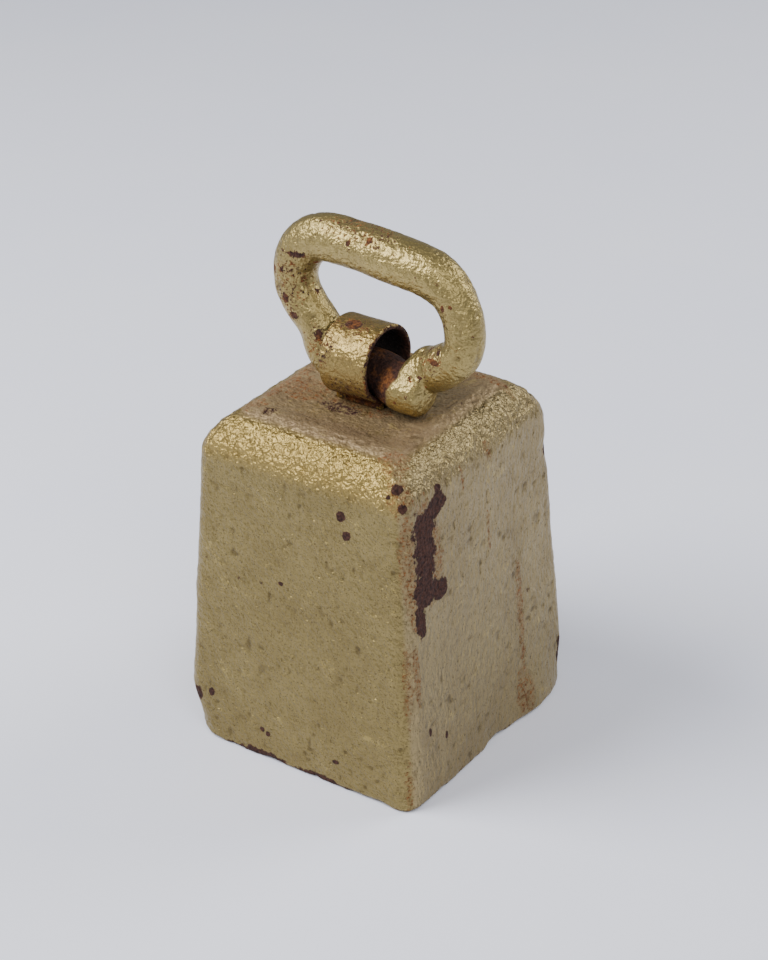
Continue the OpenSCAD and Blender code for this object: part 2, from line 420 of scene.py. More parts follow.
# %% Group: freckles
def build_freckles():
    """Scattered round specks: the middles of random cells, of which the amount says how many stay.
    Noise bends the place first, so that no speck is quite round."""
    tree, given, out = new_group(
        "rust_freckles",
        [("Place", "Vector", None), ("Density", "Float", 400.0), ("Amount", "Float", 0.5),
         ("Speck", "Float", 0.3)],
        [("Mask", "Float")])
    bent = node(tree, "TexNoise", {"Vector": given["Place"], "Scale": 1100.0, "Detail": 3.0})
    bend = between(tree, "SUBTRACT", bent.outputs["Color"], (0.5, 0.5, 0.5))
    bend = node(tree, "VectorMath", {0: bend, "Scale": 3 * MM}, operation="SCALE").outputs[0]
    place = between(tree, "ADD", given["Place"], bend)
    cells = node(tree, "TexVoronoi", {"Vector": place, "Scale": given["Density"]})
    luck = node(tree, "SeparateColor", {0: cells.outputs["Color"]})
    growth = calc(tree, "POWER", luck.outputs[1], 2.5)
    size = times(tree, given["Speck"], plus(tree, 0.30, growth))
    inside = minus(tree, size, cells.outputs["Distance"])
    kept = calc(tree, "LESS_THAN", luck.outputs[0], given["Amount"])
    put(tree, out["Mask"], times(tree, ramp(tree, inside, -0.03, 0.12), kept))
    return tree


# %% Group: rust
def build_rust():
    """Rust from dark purple brown to orange, by clouds of two sizes."""
    tree, given, out = new_group(
        "rust_colour",
        [("Place", "Vector", None), ("Orange", "Float", 0.4)],
        [("Color", "Color"), ("Height", "Float")])
    slow = clouds(tree, given["Place"], 5, 4.0, 0.65, 3.0)
    quick = clouds(tree, given["Place"], 0.9, 3.0, 0.6, 7.0)
    dark = mix(tree, ramp(tree, quick, 0.35, 0.65), colour(42, 25, 21), colour(76, 48, 38))
    bright = mix(tree, ramp(tree, quick, 0.35, 0.65), colour(82, 46, 24), colour(132, 82, 40))
    share = ramp(tree, plus(tree, slow, minus(tree, given["Orange"], 0.5)), 0.42, 0.62)
    put(tree, out["Color"], mix(tree, share, dark, bright))
    put(tree, out["Height"], quick)
    return tree


# %% Group: gold film
def build_gold_film():
    """Satin gold paint: slow drifts between its tint and its shade, dark specks where the film is
    thin, painted glints (a painted highlight) on high grains, and fine dents. Speckle and Mottle say
    how strong the specks and the drifts are. Grain scales the place, so a small number stretches the
    pattern that way.
    Hollow is the depth of the shape itself, which gathers dirt."""
    tree, given, out = new_group(
        "gold_film",
        [("Place", "Vector", None), ("Tint", "Color", colour(170, 152, 100)),
         ("Shade", "Color", colour(128, 108, 72)), ("Grain", "Vector", (1, 1, 1)),
         ("Speckle", "Float", 0.3), ("Mottle", "Float", 0.5), ("Hollow", "Float", 0.0)],
        [("Color", "Color"), ("Roughness", "Float"), ("Height", "Float")])
    place = between(tree, "MULTIPLY", given["Place"], given["Grain"])
    drift = clouds(tree, place, 16, 4.0, 0.6, 1.0)
    grain = clouds(tree, place, 1.3, 4.0, 0.68, 2.0)
    dust = clouds(tree, place, 0.5, 2.0, 0.65, 5.0)
    blend = plus(tree, times(tree, drift, 0.65), times(tree, grain, 0.35))
    share = ramp(tree, blend, 0.36, 0.64)
    film = mix(tree, times(tree, share, given["Mottle"]), given["Tint"], given["Shade"])
    specks = times(tree, ramp(tree, dust, 0.58, 0.66), given["Speckle"])
    film = mix(tree, specks, film, colour(60, 46, 28))
    # Painted shade: the film is darkened toward brown where the relief is deep.
    deep = times(tree, ramp(tree, given["Hollow"], 0.10, 0.42), 0.55)
    film = mix(tree, deep, film, colour(74, 60, 38))
    # Painted highlight: pale gold glints laid on the high grains of the film.
    sparkle = minus(tree, minus(tree, grain, given["Hollow"]), times(tree, dust, 0.5))
    painted_glints = times(tree, ramp(tree, sparkle, 0.42, 0.54), 0.22)
    film = mix(tree, painted_glints, film, colour(226, 200, 120))
    put(tree, out["Color"], film)
    rough = plus(tree, 0.31, times(tree, drift, 0.18))
    put(tree, out["Roughness"], plus(tree, rough, times(tree, specks, 0.2)))
    dents = clouds(tree, place, 1.5, 1.5, 0.45, 12.0)
    dimples = clouds(tree, place, 0.75, 1.0, 0.4, 13.0)
    height = plus(tree, times(tree, dents, 0.75), times(tree, dimples, 0.25))
    put(tree, out["Height"], height)
    return tree


ragged_spot = build_ragged_spot()
rust_freckles = build_freckles()
rust_colour = build_rust()
gold_film = build_gold_film()
print("groups:", [tree.name for tree in bpy.data.node_groups])

# %% Building a finish
def start_finish(name, tint):
    """A new material with its shader, and the place of each point in the object's own metres."""
    material = bpy.data.materials.new(name)
    material.use_nodes = True
    material.diffuse_color = tint
    tree = material.node_tree
    return material, tree, node(tree, "TexCoord").outputs["Object"]


def spots_mask(tree, where, spots):
    """The union of ragged spots. Each is its centre, its reach, its tear and the tear's size, in mm."""
    total = None
    for centre, reach, tear, tear_size in spots:
        mask = placed(tree, ragged_spot, {
            "Place": where, "Centre": [x * MM for x in centre], "Reach": [x * MM for x in reach],
            "Tear": tear, "Tear Size": 1 / (tear_size * MM)})["Mask"]
        total = mask if total is None else calc(tree, "MAXIMUM", total, mask)
    return total


def join(tree, *masks):
    total = masks[0]
    for mask in masks[1:]:
        total = calc(tree, "MAXIMUM", total, mask)
    return total


SPECULAR = 0.2
RUST_ROUGHNESS = 0.82
RUST_DEPTH = 0.25
RUST_GRAIN = 0.5


def finish_paint(tree, film, rust, rust_mask, metal, bump_mm):
    """Lays rust over paint by its mask and feeds the shader: rust is rough, dull and a little lower."""
    shader = tree.nodes["Principled BSDF"]
    shader.inputs["Specular IOR Level"].default_value = SPECULAR
    put(tree, shader.inputs["Base Color"], mix(tree, rust_mask, film["Color"], rust["Color"]))
    clean = minus(tree, 1.0, rust_mask)
    roughness = plus(tree, times(tree, film["Roughness"], clean), times(tree, rust_mask, RUST_ROUGHNESS))
    put(tree, shader.inputs["Roughness"], roughness)
    put(tree, shader.inputs["Metallic"], times(tree, clean, metal))
    height = minus(tree, film["Height"], times(tree, rust_mask, RUST_DEPTH))
    height = plus(tree, height, times(tree, times(tree, rust["Height"], rust_mask), RUST_GRAIN))
    bumps = node(tree, "Bump", {"Height": height, "Distance": bump_mm * MM, "Strength": 1.0})
    put(tree, shader.inputs["Normal"], bumps.outputs["Normal"])


def axis_value(tree, where, axis):
    return node(tree, "SeparateXYZ", {0: where}).outputs[axis]


print("finish helpers ready")

# %% [markdown]
# ### The bell's wall and crown
# Wall and crown share the same film, so that the shoulder doesn't change colour at their joint.
# The right-hand face is greyer, with upright grain and streaks.
# A large bare patch lies beside the near edge, with an orange halo and a run of rust below it.
# A painted image would need its own map, so each spot is a place and a reach in millimetres.

# %% Rust places on the bell
BARE_PATCH = [  # centre, reach, tear and tear size of each spot
    ((43.4, -31.8, 102.5), (9, 6.8, 8.0), 1.7, 5),
    ((44.0, -32.6, 92.0), (9, 6.4, 10.0), 1.7, 5),
    ((44.8, -33.8, 80.5), (9, 7.2, 8.0), 1.7, 5),
    ((45.1, -25.6, 76.6), (9, 4.4, 4.4), 1.2, 4),
    ((45.5, -37.4, 71.0), (9, 3.2, 8.0), 1.4, 4),
    ((43.2, -24.0, 108.0), (9, 5.2, 4.6), 1.4, 4),
    ((43.0, -22.6, 113.0), (9, 2.0, 1.9), 0.9, 3),
]
SMALL_SPOTS = [
    ((18.9, -44.0, 104.3), (2.2, 9, 2.2), 1.0, 2),
    ((21.3, -44.5, 98.0), (1.9, 9, 1.9), 1.0, 2),
    ((-5.8, -46.3, 71.7), (1.1, 9, 0.8), 0.9, 2),
    ((-14.1, -50.7, 11.4), (1.1, 9, 1.2), 1.0, 2),
    ((-11.5, -50.7, 10.4), (1.1, 9, 1.1), 1.0, 2),
    ((18.1, -50.8, 10.1), (1.7, 9, 1.0), 1.0, 2),
    ((44.0, 43.0, 97.0), (9, 2.2, 3.0), 1.0, 3),
    ((49.5, 46.0, 12.0), (9, 3.2, 8.0), 1.2, 4),
    ((-43.0, -50.2, 16.0), (2.6, 9, 3.0), 1.4, 3),
    ((-36.6, -50.1, 18.6), (1.4, 9, 1.9), 1.0, 2),
    ((39.0, -38.0, 118.5), (2.2, 2.2, 2.0), 1.0, 2),
    ((41.8, -39.5, 113.0), (1.6, 1.6, 1.8), 1.0, 2),
    ((36.8, -40.8, 116.5), (1.2, 1.2, 1.4), 1.0, 2),
    ((47.4, -37.0, 26.0), (9, 0.9, 1.8), 1.0, 2),
    ((48.0, -28.0, 20.0), (9, 0.9, 1.8), 1.0, 2),
]
CHIPPED_RIM = [
    ((-15.0, -51.5, 0.6), (15, 9, 2.6), 1.8, 3),
    ((11.0, -51.4, 0.4), (14, 9, 2.2), 1.8, 3),
    ((-49.0, -46.0, 9.0), (6, 6, 9.0), 1.6, 5),
]
RUST_HALO = [
    ((45.2, -42.0, 99.0), (4.2, 4.2, 22.0), 1.4, 3),
    ((46.8, -46.2, 62.0), (2.8, 2.8, 28.0), 1.6, 2),
    ((48.8, -49.8, 22.0), (2.6, 2.6, 26.0), 1.6, 2),
    ((44.2, -32.0, 92.0), (5.0, 10.0, 22.0), 1.2, 4),
    ((44.8, -40.3, 88.0), (5.0, 3.4, 24.0), 1.2, 3),
    ((44.4, 4.0, 84.0), (4, 1.2, 9.0), 1.5, 3),
    ((42.8, -9.0, 110.0), (4, 1.0, 6.0), 1.5, 2),
    ((46.8, -42.0, 51.0), (6, 1.8, 13.0), 1.2, 2),
    ((40.0, -38.5, 116.5), (5, 5, 7.0), 1.4, 3),
    ((42.6, 7.0, 113.0), (4, 2.2, 4.0), 1.4, 2),
    ((49.4, 20.0, 10.0), (6, 5.5, 10.0), 1.5, 4),
    ((48.0, 21.0, 42.0), (6, 1.9, 24.0), 1.7, 3),
    ((-30.0, -24.0, 124.6), (6, 4, 4), 1.5, 3),
    ((-28.5, 3.0, 125.0), (2.8, 34, 4), 1.5, 3),
    ((8.0, 31.5, 124.0), (38, 3.0, 5), 1.5, 3),
    ((34.0, -32.0, 124.0), (6, 6, 5), 1.5, 3),
    ((2.0, -7.0, 124.5), (15, 5.5, 5), 1.4, 2),
    ((-20.0, -6.0, 124.5), (9, 9, 4), 1.6, 3),
]
CREVICES = [
    ((-3.0, -11.0, 124.5), (9, 3.4, 3), 1.2, 2),
    ((-21.0, -26.5, 124.8), (3.0, 3.0, 2), 1.6, 2),
]


print("rust places:", len(BARE_PATCH + SMALL_SPOTS + CHIPPED_RIM + RUST_HALO + CREVICES))

# %% Bell finish
BELL_FILMS = {  # tint, shade, grain, speckle and mottle of the film on each part
    "front": (colour(143, 127, 82), colour(112, 97, 62), (1, 1, 1), 0.8, 0.4),
    "right": (colour(152, 136, 98), colour(118, 102, 74), (1, 1, 0.5), 0.75, 0.4),
    "flat": (colour(162, 140, 104), colour(126, 105, 80), (0.3, 1, 1), 0.45, 0.9),
}
# A pale gold laid on the shoulder as a painted highlight.
SHOULDER_PAINTED_HIGHLIGHT = colour(178, 150, 82)
FLECK_BROWN = colour(70, 50, 30)
PAINT_METAL = 0.92
BELL_BUMP = 1.4


def bell_regions(tree, x, y, z):
    """Shares from 0 to 1 of the right-hand face, of the crown's flat and of the shoulder."""
    past_near_edge = ramp(tree, plus(tree, x, y), -1.5 * MM, 1.5 * MM)
    past_far_edge = ramp(tree, minus(tree, x, y), -1.5 * MM, 1.5 * MM)
    at_right = times(tree, past_near_edge, past_far_edge)
    on_flat = ramp(tree, z, 122.8 * MM, 124.6 * MM)
    on_shoulder = times(tree, ramp(tree, z, 108 * MM, 116 * MM), minus(tree, 1.0, on_flat))
    return at_right, on_flat, on_shoulder


def bell_film(tree, where, place):
    """The film on wall and crown: olive gold in front, greyer with upright grain at the right, a
    dull brown veil on the flat of the crown, and crinkled gold on the shoulder under a painted
    highlight, strong in front and faint at the right."""
    at_right, on_flat, on_shoulder = bell_regions(tree, *place)
    hollow = node(tree, "Attribute", attribute_name="hollow").outputs["Fac"]
    films = {}
    for part, (tint, shade, grain, speckle, mottle) in BELL_FILMS.items():
        films[part] = placed(tree, gold_film, {
            "Place": where, "Tint": tint, "Shade": shade, "Grain": grain,
            "Speckle": speckle, "Mottle": mottle, "Hollow": hollow})
    tint = mix(tree, at_right, films["front"]["Color"], films["right"]["Color"])
    tint = mix(tree, on_flat, tint, films["flat"]["Color"])
    height = plus(tree, times(tree, films["front"]["Height"], minus(tree, 1.0, at_right)),
                  times(tree, films["right"]["Height"], at_right))
    crust = clouds(tree, where, 0.8, 1.0, 0.4, 11.0)
    height = plus(tree, height, times(tree, times(tree, crust, on_shoulder), 0.25))
    height = times(tree, height, minus(tree, 1.0, times(tree, on_flat, 0.4)))
    # Painted highlight: the shoulder's colour is pulled toward pale gold, strongly in front and little at
    # the right.
    painted_shoulder_highlight = times(tree, on_shoulder, minus(tree, 0.45, times(tree, at_right, 0.37)))
    tint = mix(tree, painted_shoulder_highlight, tint, SHOULDER_PAINTED_HIGHLIGHT)
    flecks = times(tree, ramp(tree, crust, 0.60, 0.68), times(tree, on_shoulder, 0.4))
    tint = mix(tree, flecks, tint, FLECK_BROWN)
    rough = plus(tree, films["front"]["Roughness"], times(tree, on_flat, 0.14))
    metal = minus(tree, PAINT_METAL, times(tree, on_flat, 0.35))
    return {"Color": tint, "Roughness": rough, "Height": height}, metal


def bell_freckles(tree, where):
    """Few freckles everywhere, and more of them where a slow cloud is thick."""
    cloud = ramp(tree, clouds(tree, where, 22, 3.0, 0.6, 4.0), 0.5, 0.75)
    many = plus(tree, 0.015, times(tree, cloud, 0.06))
    return placed(tree, rust_freckles, {"Place": where, "Density": 420.0, "Amount": many,
                                        "Speck": 0.30})["Mask"]


def bell_rust(tree, where, z):
    """Where iron shows: the bare patch, spots, chipped rim, freckles and worn edges. The second
    and third results are the dark iron alone and the stained places round it."""
    patch = spots_mask(tree, where, BARE_PATCH)
    spots = spots_mask(tree, where, SMALL_SPOTS)
    chips = spots_mask(tree, where, CHIPPED_RIM)
    halo_shape = spots_mask(tree, where, RUST_HALO)
    torn = clouds(tree, where, 1.2, 4.0, 0.75, 9.0)
    blots = times(tree, ramp(tree, torn, 0.40, 0.56), 0.34)
    stain = times(tree, halo_shape, plus(tree, blots, 0.08))
    halo = times(tree, halo_shape, ramp(tree, torn, 0.50, 0.60))
    deep = times(tree, spots_mask(tree, where, CREVICES), ramp(tree, torn, 0.44, 0.54))
    near_rim = minus(tree, 1.0, ramp(tree, z, 0.0, 8 * MM))
    ragged = times(tree, minus(tree, torn, 0.5), 1.8)
    rim = ramp(tree, plus(tree, near_rim, ragged), 0.95, 1.15)
    freckles = times(tree, bell_freckles(tree, where), 0.8)
    dark = join(tree, patch, spots, chips, deep)
    return join(tree, dark, halo, freckles, rim, stain), dark, halo_shape


def make_bell_finish(name):
    material, tree, where = start_finish(name, colour(143, 127, 93))
    place = [axis_value(tree, where, axis) for axis in range(3)]
    film, metal = bell_film(tree, where, place)
    mask, dark, halo = bell_rust(tree, where, place[2])
    orange = plus(tree, 0.35, minus(tree, times(tree, halo, 0.38), times(tree, dark, 0.9)))
    rust = placed(tree, rust_colour, {"Place": where, "Orange": orange})
    finish_paint(tree, film, rust, mask, metal, BELL_BUMP)
    return material


bell_finish = make_bell_finish("gold_paint_on_wall")
crown_finish = make_bell_finish("gold_paint_on_crown")
print("bell finishes made")

# %% [markdown]
# ### Ring and strap
# The loose parts are a brighter gold than the walls. Where the bar runs through the eye, metal
# rubs on metal, so no paint holds there: the bar is rusty. Inside the eye, painted shade darkens
# that rust nearly to black. One function makes both finishes from their own places, so that they
# can differ without two copies.

# %% Rust places on ring and strap
RING_SPOTS = [  # centre, reach, tear and tear size of each spot
    ((-6.5, -1.0, 188.0), (3.0, 6, 1.5), 1.8, 2),
    ((9.5, -1.0, 185.5), (1.2, 6, 1.2), 1.6, 0.9),
    ((4.5, -1.5, 183.5), (1.3, 6, 1.0), 1.7, 0.9),
    ((-3.0, -2.0, 181.5), (1.0, 6, 1.0), 1.5, 0.9),
    ((-24.0, -2.5, 173.0), (4.2, 6, 1.3), 2.0, 0.9),
    ((-28.5, -4.5, 156.5), (1.5, 6, 2.0), 1.6, 0.9),
    ((-25.0, -5.0, 151.0), (2.2, 6, 1.5), 1.9, 0.9),
    ((-15.0, -5.5, 146.0), (1.3, 6, 2.2), 1.7, 0.9),
    ((34.5, -3.0, 167.5), (0.9, 6, 1.5), 1.6, 0.9),
    ((27.0, -5.0, 150.0), (1.1, 6, 0.9), 1.4, 0.9),
    ((32.3, -5.0, 151.0), (1.1, 6, 0.8), 1.5, 0.9),
    ((31.5, -5.0, 148.0), (2.6, 6, 1.0), 1.8, 1.2),
    ((26.0, -6.0, 141.0), (1.2, 6, 0.7), 1.4, 1.2),
    ((19.0, -7.0, 132.0), (0.8, 6, 0.7), 1.0, 1.2),
    ((-34.0, -3.5, 165.5), (0.9, 6, 1.6), 1.6, 0.9),
]
RING_HALO = [
    ((0.0, 0.0, 186.0), (16, 9, 5), 1.4, 3),
    ((-28.0, -3.0, 158.0), (7, 9, 15), 1.4, 3),
    ((30.0, -5.0, 148.0), (7, 7, 5), 1.4, 3),
    ((-16.0, -4.0, 143.0), (5, 8, 7), 1.4, 3),
]
STRAP_SPOTS = [
    ((-2.0, -3.0, 153.0), (3.4, 2.8, 3), 1.0, 2),
    ((9.5, 0.0, 139.0), (1.3, 15, 15), 1.5, 2),
    ((-9.5, 0.0, 139.0), (1.0, 15, 15), 1.6, 2),
    ((2.0, -8.0, 126.5), (13, 5, 4.5), 1.6, 2),
]
STRAP_HALO = [
    ((0.0, -11.0, 131.0), (13, 8, 8), 1.2, 3),
    ((-2.0, -3.0, 152.5), (8, 7, 4), 1.4, 3),
    ((-8.0, -9.0, 144.0), (4, 9, 8), 1.4, 3),
]


print("rust places:", len(RING_SPOTS + RING_HALO + STRAP_SPOTS + STRAP_HALO))

# %% Ring and strap finishes
EYE_RADIUS = 12.0
STRAP_SHEET = 1.8
RING_Z = frame["joints"][0]["pos_m"][2] / MM
EYE_Z = strap_high[2] - EYE_RADIUS - STRAP_SHEET
BLOT_TEAR_SIZE = 4.0
# Near black laid inside the eye as painted shade.
EYE_SHADE_COLOUR = colour(7, 4, 3)
LOOSE_BUMP = 0.9


def rub_and_shade_blot(tree, where, centre, reach, tear, softness):
    """One blot with a nearly even edge, in mm: where metal rubs on metal, and where painted shade darkens
    the eye.
    """
    return placed(tree, ragged_spot, {
        "Place": where, "Centre": [x * MM for x in centre], "Reach": [x * MM for x in reach],
        "Tear": tear, "Tear Size": 1 / (BLOT_TEAR_SIZE * MM), "Softness": softness})["Mask"]


def make_loose_finish(name, tint, shade, spots, halos, freckled, bare, eye_shade):
    """Brighter gold over hammered bar or strap, with freckles, spots and bare iron that rubs. Bare
    holds the iron's centre, reach and darkness. The last argument holds the share and the reach of
    the painted shade that darkens the rust inside the eye."""
    material, tree, where = start_finish(name, tint)
    hollow = node(tree, "Attribute", attribute_name="hollow").outputs["Fac"]
    film = placed(tree, gold_film, {"Place": where, "Tint": tint, "Shade": shade,
                                    "Speckle": 0.55, "Mottle": 0.5, "Hollow": hollow})
    cloud = ramp(tree, clouds(tree, where, 11, 3.0, 0.6, 6.0), 0.5, 0.72)
    many = plus(tree, 0.03, times(tree, cloud, freckled))
    freckles = [placed(tree, rust_freckles, {"Place": where, "Density": density, "Amount": many,
                                             "Speck": speck})["Mask"]
                for density, speck in ((430.0, 0.50), (900.0, 0.45))]
    rubbed = rub_and_shade_blot(tree, where, bare["centre"], bare["reach"], 0.16, 0.07)
    torn = clouds(tree, where, 1.1, 4.0, 0.75, 9.0)
    halo = times(tree, spots_mask(tree, where, halos), ramp(tree, torn, 0.51, 0.59))
    mask = join(tree, *freckles, rubbed, halo, spots_mask(tree, where, spots))
    orange = minus(tree, 0.50, times(tree, rubbed, bare["dark"]))
    rust = placed(tree, rust_colour, {"Place": where, "Orange": orange})
    # Painted shade: inside the eye the rust is darkened toward near black.
    eye_shade_mask = rub_and_shade_blot(tree, where, bare["centre"], eye_shade["reach"], 0.10, 0.10)
    rust_under_eye_shade = mix(tree, times(tree, eye_shade_mask, eye_shade["share"]), rust["Color"], EYE_SHADE_COLOUR)
    rust = {"Color": rust_under_eye_shade, "Height": rust["Height"]}
    finish_paint(tree, film, rust, mask, PAINT_METAL, LOOSE_BUMP)
    return material


ring_finish = make_loose_finish(
    "gold_paint_on_ring", colour(168, 149, 95), colour(126, 110, 71), RING_SPOTS, RING_HALO,
    freckled=0.22,
    bare={"centre": (4.5, 0, RING_Z), "reach": (18, 14, 13), "dark": 0.05},
    eye_shade={"share": 0.45, "reach": (12, 14, 13)})
strap_finish = make_loose_finish(
    "gold_paint_on_strap", colour(158, 136, 83), colour(114, 94, 58), STRAP_SPOTS, STRAP_HALO,
    freckled=0.30,
    bare={"centre": (0, 0, EYE_Z), "reach": (500, 13.7, 13.7), "dark": 0.3},
    eye_shade={"share": 0.92, "reach": (20, 13.9, 13.9)})
print("ring turns at height", round(RING_Z, 2))

# %% [markdown]
# ### Bare iron
# The parts inside the bell have no paint. Their iron is dark scale with brown rust over it in
# clouds, and the pin and its washers are rubbed brighter.

# %% Bare iron finishes
def make_iron_finish(name, dark, light, worn):
    """Bare forged iron: grain between a dark and a light tone, and brown rust in clouds, of which
    worn leaves less."""
    material, tree, where = start_finish(name, dark)
    shader = tree.nodes["Principled BSDF"]
    scale = clouds(tree, where, 6, 5.0, 0.65, 2.0)
    grain = clouds(tree, where, 1.1, 4.0, 0.65, 8.0)
    rust = placed(tree, rust_colour, {"Place": where, "Orange": 0.40})
    iron = mix(tree, ramp(tree, grain, 0.4, 0.65), dark, light)
    rusty = ramp(tree, scale, 0.44 + 0.1 * worn, 0.62 + 0.1 * worn)
    put(tree, shader.inputs["Base Color"], mix(tree, rusty, iron, rust["Color"]))
    put(tree, shader.inputs["Metallic"], times(tree, minus(tree, 1.0, rusty), 0.75))
    put(tree, shader.inputs["Roughness"], plus(tree, 0.45, times(tree, rusty, 0.4)))
    bumps = node(tree, "Bump", {"Height": grain, "Distance": 0.4 * MM, "Strength": 0.9}).outputs["Normal"]
    put(tree, shader.inputs["Normal"], bumps)
    return material


bare_finish = make_iron_finish("bare_iron", colour(62, 54, 50), colour(98, 88, 80), 0.0)
worn_finish = make_iron_finish("worn_iron", colour(96, 90, 84), colour(150, 142, 132), 0.6)
print("iron finishes made")

# %% [markdown]
# ## The bell's sheet
# The bell is one forged shell: four leaning walls, a rounded shoulder and a crown with a slot for
# the strap. A cube with bevels would give the outline, but not the wall's inside, the rolled rim
# or the dents. So the whole sheet is one grid that closes both ways. Going around, each row is a
# rounded rectangle. Along the rows, it runs out of the slot, over the crown, down the shoulder
# and the wall, round the rim, up the inside and back to the slot. The crown and the wall are two
# runs of its rows, so they meet without a step.

# %% Rows of the bell
SIDE_STEPS = 124
CORNER_STEPS = 16
MOUTH_CORNER = 7.5
SHOULDER_CORNER = 5.5
CROWN_CORNER = 4.5
SHEET = 3.0
RIM_HEIGHT = 1.7
SHOULDER_REACH = 15.5
SHOULDER_POWER = 1.75
CROWN_DISH = 1.3
CROWN_LEAN = np.array([1.5, 1.9])
SLOT_ROOM = 0.15
SLOT_CORNER = 0.4
LEG_PAIR_DEPTH = 9.6

CROWN_ROWS = 40
SHOULDER_ROWS = 64
WALL_ROWS = 147
RIM_ROWS = 12
INSIDE_WALL_ROWS = 18
INSIDE_CROWN_ROWS = 9

joint_z = wall_high[2]
crown_z = cap_high[2]
mouth = (wall_high - wall_low)[:2] / 2
shoulder = (cap_high - cap_low)[:2] / 2 + 0.25
slot_half = np.array([(strap_high - strap_low)[0] / 2, LEG_PAIR_DEPTH / 2]) + SLOT_ROOM


def square_walk(side_steps, corner_steps):
    """The walk around a rounded square: which corner centre each point belongs to, from -1 to 1
    in X and Y, and the angle that it faces. Corners turn the angle, and sides move the centre."""
    corners = np.array([(1, 1), (-1, 1), (-1, -1), (1, -1), (1, 1)], float)
    centres, angles = [], []
    for k in range(4):
        centres.append(np.repeat(corners[k:k + 1], corner_steps, 0))
        angles.append(90 * (k + np.arange(corner_steps) / corner_steps))
        share = np.arange(side_steps)[:, None] / side_steps
        centres.append(corners[k] * (1 - share) + corners[k + 1] * share)
        angles.append(np.full(side_steps, 90.0 * (k + 1)))
    return np.concatenate(centres), np.radians(np.concatenate(angles))


def square_rows(heights, half_sizes, corner_radii, walk):
    """A grid of points with one rounded rectangle per row, each with its height, half sizes and
    corner radius: the corner's centre plus the radius along the angle."""
    centres, angles = walk
    aim = np.stack([np.cos(angles), np.sin(angles)], -1)
    radii = corner_radii[:, None, None]
    flat = centres * (half_sizes[:, None] - radii) + radii * aim
    return np.concatenate([flat, np.broadcast_to(heights[:, None, None], flat.shape[:2] + (1,))], -1)


def wall_half(z):
    """Half sizes of the wall's outside at each height, straight from the mouth to the shoulder."""
    share = (z / joint_z)[:, None]
    return mouth * (1 - share) + shoulder * share


def wall_corner(z):
    return MOUTH_CORNER + (SHOULDER_CORNER - MOUTH_CORNER) * z / joint_z


def shoulder_run(steps, inset, drop):
    """Heights, half sizes and corner radii down the shoulder. Its curve is a superellipse between
    a quarter circle and a straight chamfer, inset from the outside by a sheet's thickness."""
    angle = np.linspace(math.pi / 2, 0, steps)
    inward = (SHOULDER_REACH - inset) * (1 - np.cos(angle) ** (2 / SHOULDER_POWER)) + inset
    rise = (crown_z - joint_z - drop) * np.sin(angle) ** (2 / SHOULDER_POWER)
    corner = SHOULDER_CORNER + (CROWN_CORNER - SHOULDER_CORNER) * angle / (math.pi / 2)
    return joint_z + rise, shoulder - inward[:, None], np.maximum(corner - inset, 1.0)


def crown_run(steps, inset, z):
    """Rows from the slot's edge out to the flat's edge, at one height."""
    share = np.linspace(0, 1, steps)[:, None]
    edge = shoulder - SHOULDER_REACH
    corner = SLOT_CORNER + (max(CROWN_CORNER - inset, 1.0) - SLOT_CORNER) * share[:, 0]
    return np.full(steps, z), slot_half * (1 - share) + edge * share, corner


def wall_run(steps, low, high, inset):
    """Rows down the wall, inset by a sheet's thickness for the inside."""
    z = np.linspace(high, low, steps)
    return z, wall_half(z) - inset, np.maximum(wall_corner(z) - inset, 1.0)


def rim_run(steps):
    """The rolled rim: half an ellipse from the outside round to the inside of the wall."""
    angle = np.linspace(0, math.pi, steps + 2)[1:-1]
    inset = SHEET / 2 * (1 - np.cos(angle))
    z = RIM_HEIGHT * (1 - np.sin(angle))
    return z, wall_half(z) - inset[:, None], wall_corner(z) - inset


def backward_run(run):
    return tuple(values[::-1] for values in run)


def without_first(run):
    """Drops the first row, which the run before already has."""
    return tuple(values[1:] for values in run)


runs = [
    crown_run(CROWN_ROWS, 0, crown_z),
    without_first(shoulder_run(SHOULDER_ROWS, 0, 0)),
    without_first(wall_run(WALL_ROWS, RIM_HEIGHT, joint_z, 0)),
    rim_run(RIM_ROWS),
    backward_run(wall_run(INSIDE_WALL_ROWS, RIM_HEIGHT, joint_z, SHEET)),
    without_first(backward_run(shoulder_run(INSIDE_CROWN_ROWS, SHEET, SHEET))),
    without_first(backward_run(crown_run(INSIDE_CROWN_ROWS, SHEET, crown_z - SHEET))),
]
outer_joint = len(runs[0][0]) + len(runs[1][0]) - 1
inner_joint = outer_joint + sum(len(run[0]) for run in runs[2:5])
heights, half_sizes, corner_radii = (np.concatenate(parts) for parts in zip(*runs))
walk = square_walk(SIDE_STEPS, CORNER_STEPS)
sheet = square_rows(heights, half_sizes, corner_radii, walk)
rows_total = len(sheet)
is_outside = np.arange(rows_total) < inner_joint - INSIDE_WALL_ROWS
print("bell sheet:", sheet.shape, "joint rows:", outer_joint, inner_joint)

# %% [markdown]
# ### Dents, knocks and rust
# A real bell has been dropped and dragged. Its crown leans a little, its feet are knocked round,
# and the paint lies over hammer marks, scale and pits. Sculpting could do it by hand, but functions
# of position keep every size in millimetres. Broad knocks move both skins of the sheet together,
# and the fine relief moves them along their normals, the inside less.

